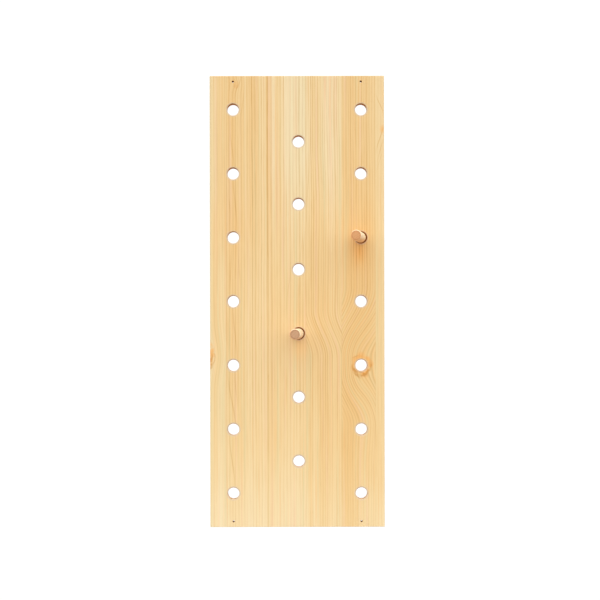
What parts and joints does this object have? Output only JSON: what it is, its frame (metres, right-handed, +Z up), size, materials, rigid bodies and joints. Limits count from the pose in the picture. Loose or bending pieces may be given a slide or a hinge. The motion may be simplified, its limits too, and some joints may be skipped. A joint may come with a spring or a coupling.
{
  "type": "wall pegboard",
  "caption": "Flat edge-glued softwood board with a staggered grid of round through holes that take wooden pegs, screwed to a wall at its corners, with loose round pegs in it.",
  "frame": {"origin": "centre of the board's back face, which is the centre of its four screw holes", "axes": "+Z up the board, +Y through it into the wall, so the pegs stand out towards -Y; +X to the right, seen from the front"},
  "size_m": [0.3, 0.1212, 0.776],
  "materials": {
    "pine_strip_1": "sanded softwood, pale honey colour, thin matt varnish",
    "pine_strip_2": "sanded softwood, pale honey colour, thin matt varnish",
    "pine_strip_3": "sanded softwood, pale honey colour, thin matt varnish",
    "pine_strip_4": "sanded softwood, pale honey colour, thin matt varnish",
    "pine_strip_5": "sanded softwood, pale honey colour, thin matt varnish",
    "pine_strip_6": "sanded softwood, pale honey colour, thin matt varnish",
    "peg_wood_right": "bare turned dowel, pale sides and a darker sawn end",
    "peg_wood_centre": "bare turned dowel, pale sides and a darker sawn end"
  },
  "bodies": {
    "board": {"panel_strip_1": "pine_strip_1", "panel_strip_2": "pine_strip_2", "panel_strip_3": "pine_strip_3", "panel_strip_4": "pine_strip_4", "panel_strip_5": "pine_strip_5", "panel_strip_6": "pine_strip_6"},
    "right_peg_body": {"right_peg": "peg_wood_right"},
    "centre_peg_body": {"centre_peg": "peg_wood_centre"}
  },
  "joints": [
    {"name": "right_peg_slide", "type": "slide", "parent": "board", "child": "right_peg_body", "axis": [-0.1101, -0.9938, -0.0174], "range_m": [0, 0.025]},
    {"name": "centre_peg_slide", "type": "slide", "parent": "board", "child": "centre_peg_body", "axis": [-0.0574, -0.9983, -0.004], "range_m": [0, 0.025]}
  ]
}
